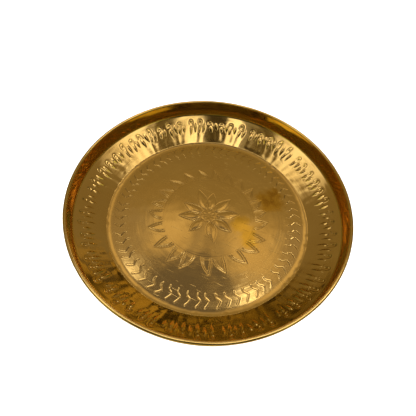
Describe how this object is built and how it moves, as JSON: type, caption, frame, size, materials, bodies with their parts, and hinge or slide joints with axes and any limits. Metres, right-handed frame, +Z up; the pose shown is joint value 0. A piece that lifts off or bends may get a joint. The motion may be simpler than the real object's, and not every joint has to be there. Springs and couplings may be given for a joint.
{
  "type": "thali plate",
  "caption": "Deep round brass thali plate with a flat floor, a sloping side, an upright collar and a rolled rim, for serving a meal or an offering.",
  "frame": {"origin": "centre of the flat face that the plate stands on", "axes": "+Z up along the plate's centre line, -Y towards the near side in the picture"},
  "size_m": [0.3, 0.3, 0.0425],
  "materials": {
    "sheet_brass": "hand-beaten and polished, with chased ornament and brown tarnish in the low places",
    "wire_brass": "drawn wire, hidden in the roll"
  },
  "bodies": {
    "root": {"dish": "sheet_brass", "rim_wire": "wire_brass"}
  },
  "joints": []
}
